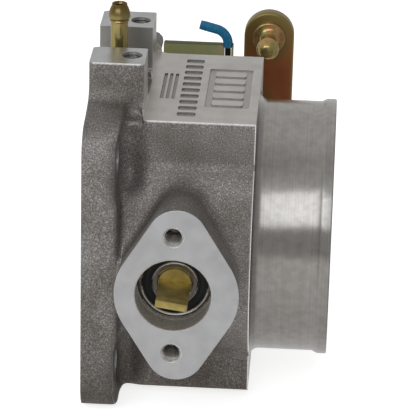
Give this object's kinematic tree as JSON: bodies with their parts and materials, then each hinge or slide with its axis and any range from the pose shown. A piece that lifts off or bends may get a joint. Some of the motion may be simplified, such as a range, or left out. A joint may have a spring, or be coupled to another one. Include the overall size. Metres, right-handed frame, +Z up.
{
  "type": "throttle body",
  "caption": "Single-bore throttle body with a square manifold flange, a round hose neck, a ball-bearing shaft with a disc blade, and a sprung cable lever.",
  "frame": {"origin": "centre of the manifold flange's machined face, on the bore axis", "axes": "+X along the bore towards the air inlet, +Y along the throttle shaft towards the lever, +Z up towards the bracket posts"},
  "size_m": [0.0724, 0.1395, 0.115],
  "materials": {
    "cast_aluminium": "blasted casting, machined faces",
    "yellow_zinc": "yellow zinc plate",
    "copper_zinc": "yellow zinc plate over copper tone",
    "bearing_steel": "ground",
    "ball_steel": "polished",
    "seal_rubber": "matte",
    "cage_nylon": "matte",
    "blade_brass": "turned",
    "screw_steel": "bright zinc",
    "bush_nylon": "matte",
    "spring_steel": "black oxide",
    "sleeve_plastic": "matte"
  },
  "bodies": {
    "housing": {"body_casting": "cast_aluminium", "vacuum_barb": "yellow_zinc", "near_bearing_outer_ring": "bearing_steel", "near_bearing_seals": "seal_rubber", "near_bearing_balls": "ball_steel", "near_bearing_cage": "cage_nylon", "far_bearing_outer_ring": "bearing_steel", "far_bearing_seals": "seal_rubber", "far_bearing_balls": "ball_steel", "far_bearing_cage": "cage_nylon", "idle_stop_screw": "screw_steel", "idle_stop_locknut": "yellow_zinc", "return_spring": "spring_steel"},
    "shaft": {"throttle_shaft": "yellow_zinc", "throttle_blade": "blade_brass", "blade_screws": "screw_steel", "near_bearing_inner_ring": "bearing_steel", "far_bearing_inner_ring": "bearing_steel", "spring_bush": "bush_nylon", "return_plate": "yellow_zinc", "throttle_lever": "copper_zinc", "cable_ball_stud": "yellow_zinc", "lock_washer": "screw_steel", "lever_nut": "yellow_zinc", "spring_sleeve": "sleeve_plastic"}
  },
  "joints": [
    {"name": "throttle_hinge", "type": "hinge", "parent": "housing", "child": "shaft", "pos_m": [0.0277, 0, 0], "axis": [0, -1, 0], "range_deg": [0, 85], "stiffness_Nm_per_rad": 0.85, "springref_deg": -20.05, "deforming": ["return_spring"]}
  ]
}
